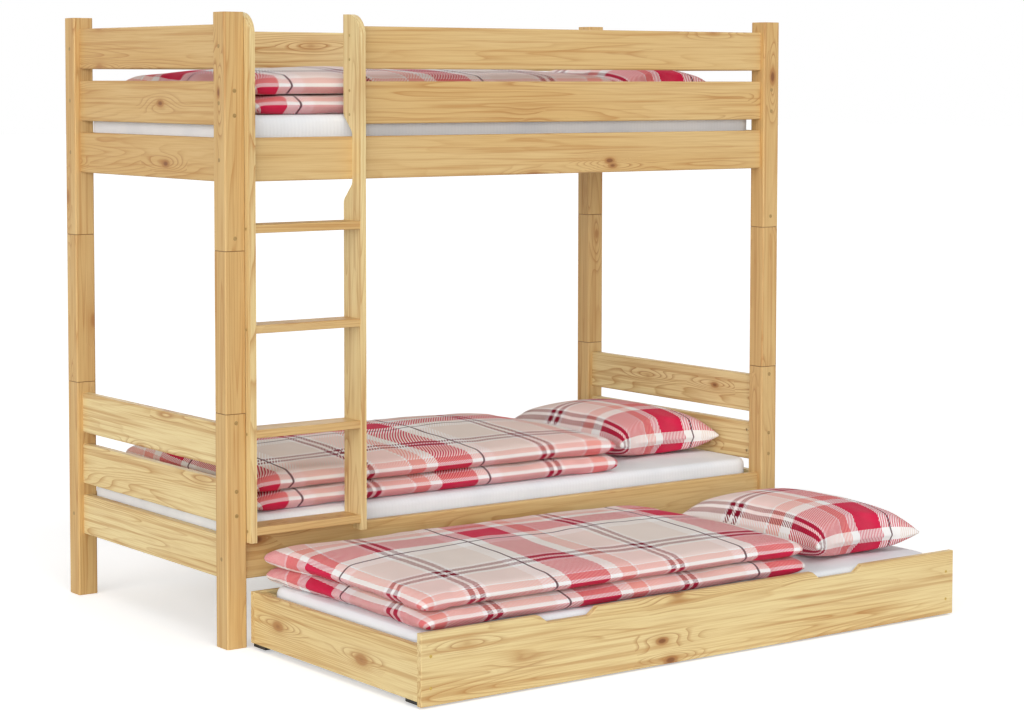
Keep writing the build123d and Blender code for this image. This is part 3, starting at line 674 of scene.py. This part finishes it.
MATTRESS_CORNER = {"lower": 0.06, "upper": 0.06, "trundle": 0.085}
MATTRESS_EDGE = 0.022


def mattress_shape(low, high, corner):
    """Block with upright corners rounded, then its edges at top and bottom."""
    shape = bmesh.new()
    bmesh.ops.create_cube(shape, size=1.0)
    bmesh.ops.scale(shape, vec=[high[i] - low[i] for i in range(3)], verts=shape.verts)
    bmesh.ops.translate(shape, vec=[(low[i] + high[i]) / 2 for i in range(3)], verts=shape.verts)
    upright = [e for e in shape.edges if abs(e.verts[0].co.z - e.verts[1].co.z) > 0.01]
    bmesh.ops.bevel(shape, geom=upright, offset=corner, segments=8, profile=0.5, affect="EDGES",
                    material=-1)
    rims = [e for e in shape.edges if abs(e.verts[0].co.z - e.verts[1].co.z) < 0.001
            and len(e.link_faces) == 2 and any(abs(f.normal.z) > 0.9 for f in e.link_faces)
            and any(abs(f.normal.z) < 0.1 for f in e.link_faces)]
    bmesh.ops.bevel(shape, geom=rims, offset=MATTRESS_EDGE, segments=6, profile=0.5,
                    affect="EDGES", material=-1)
    return shape


END_INSET = 0.006           # a layer to the ends of the duvet's box
FRONT_INSET = 0.004
SLIP = 0.005                # the under layer lies this far to the right, the over layer to the left

for bed, body in {"lower": "bed_frame", "upper": "bed_frame", "trundle": "trundle"}.items():
    low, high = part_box("duvet_" + bed)
    tall = (high[2] - low[2] - CROWN) / 2
    made = []
    for order, layer in enumerate(layers):
        twin = copied(layer, f"duvet_{bed}_{('under', 'over')[order]}")
        lay_pattern(twin, bed, order)
        base = low[2] + order * tall
        slip = SLIP * (1 - 2 * order)
        top = base + tall * (1.0 if order else 0.985)
        fit_into(twin, (low[0] + END_INSET + slip, low[1] + FRONT_INSET, base),
                 (high[0] - END_INSET + slip, high[1] - END_INSET * order, top))
        arch(twin, low, high, order, tall)
        bedding(twin, body, "duvet_" + bed)
        made.append(twin)
    low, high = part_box("pillow_" + bed)
    pillow = copied(pillow_form, f"pillow_{bed}_stuffed")
    lay_pillow_pattern(pillow)
    fit_into(pillow, low, high)
    settle(pillow, low, high)
    bedding(pillow, body, "pillow_" + bed)
    made.append(pillow)
    if bed == "trundle":
        for soft in made:
            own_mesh(soft)
    shape = mattress_shape(*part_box("mattress_" + bed), MATTRESS_CORNER[bed])
    mattress = piece_of(shape, f"mattress_{bed}_covered", mattress_cloth)
    bedding(mattress, body, "mattress_" + bed)
for form in layers + [pillow_form]:
    bpy.data.objects.remove(form)


# ---------------------------------------------------------------- stage, light and camera
def stage_colour(name, colour, glow):
    """Pale matt surface that keeps shadows and shows near white."""
    s = Surface(name, Roughness=0.9, Specular_IOR_Level=0.0)
    s.put(s.shader, "Base Color", colour)
    s.put(s.shader, "Emission Color", (1, 1, 1, 1))
    seen = s.node("LightPath", {}, out=0)
    s.put(s.shader, "Emission Strength", s.calc("MULTIPLY", seen, glow))
    return s.material


floor_shape = bmesh.new()
bmesh.ops.create_grid(floor_shape, x_segments=1, y_segments=1, size=60.0)
bmesh.ops.translate(floor_shape, vec=(0, 0, -0.0005), verts=floor_shape.verts)
floor = piece_of(floor_shape, "floor", stage_colour("pale_floor", srgb("f4f4f4"), 0.42), False)

# white light all round, weaker than the white that the camera and reflections see
world = bpy.data.worlds.new("studio")
bpy.context.scene.world = world
world.use_nodes = True
tree = world.node_tree
ambient = tree.nodes["Background"]
ambient.inputs[0].default_value = (1, 1, 1, 1)
ambient.inputs[1].default_value = 0.42
backdrop = tree.nodes.new("ShaderNodeBackground")
backdrop.inputs[0].default_value = (1, 1, 1, 1)
backdrop.inputs[1].default_value = 1.0
path = tree.nodes.new("ShaderNodeLightPath")
either = tree.nodes.new("ShaderNodeMath")
either.operation = "MAXIMUM"
tree.links.new(path.outputs["Is Camera Ray"], either.inputs[0])
tree.links.new(path.outputs["Is Glossy Ray"], either.inputs[1])
choose = tree.nodes.new("ShaderNodeMixShader")
tree.links.new(either.outputs[0], choose.inputs[0])
tree.links.new(ambient.outputs[0], choose.inputs[1])
tree.links.new(backdrop.outputs[0], choose.inputs[2])
tree.links.new(choose.outputs[0], tree.nodes["World Output"].inputs[0])

# name, the way to the light, strength and angle in degrees
SUNS = [("key", (-0.15, -0.8, 0.9), 0.68, 28), ("side", (-0.9, -0.35, 0.38), 0.95, 40),
        ("fill", (-0.55, -0.8, 0.08), 1.35, 24), ("back", (0.55, 0.8, 0.4), 0.35, 50)]
for name, toward, strength, spread in SUNS:
    light = bpy.data.lights.new(name, "SUN")
    light.energy = strength
    light.angle = math.radians(spread)
    lamp = bpy.data.objects.new(name, light)
    lamp.rotation_euler = Vector(toward).to_track_quat("Z", "Y").to_euler()
    bpy.context.scene.collection.objects.link(lamp)

# metres, radians and millimetres
CAMERA = {"place": (-4.5357, -6.1688, 1.6266), "yaw": 0.63396, "pitch": -0.06425,
          "roll": 0.00155, "lens": 87.22, "shift": -0.12}
yaw, pitch, roll = CAMERA["yaw"], CAMERA["pitch"], CAMERA["roll"]
ahead = Vector((math.cos(pitch) * math.sin(yaw), math.cos(pitch) * math.cos(yaw), math.sin(pitch)))
right = Vector((math.cos(yaw), -math.sin(yaw), 0))
above = right.cross(ahead)
turned_right = math.cos(roll) * right + math.sin(roll) * above
turned_above = math.cos(roll) * above - math.sin(roll) * right
lens = bpy.data.cameras.new("camera")
lens.sensor_width = 36
lens.lens = CAMERA["lens"]
lens.shift_y = CAMERA["shift"]
lens.clip_end = 200
camera = bpy.data.objects.new("camera", lens)
bpy.context.scene.collection.objects.link(camera)
camera.matrix_world = Matrix((
    (turned_right.x, turned_above.x, -ahead.x, CAMERA["place"][0]),
    (turned_right.y, turned_above.y, -ahead.y, CAMERA["place"][1]),
    (turned_right.z, turned_above.z, -ahead.z, CAMERA["place"][2]),
    (0, 0, 0, 1)))
bpy.context.scene.camera = camera
bpy.context.scene.view_settings.view_transform = "Standard"
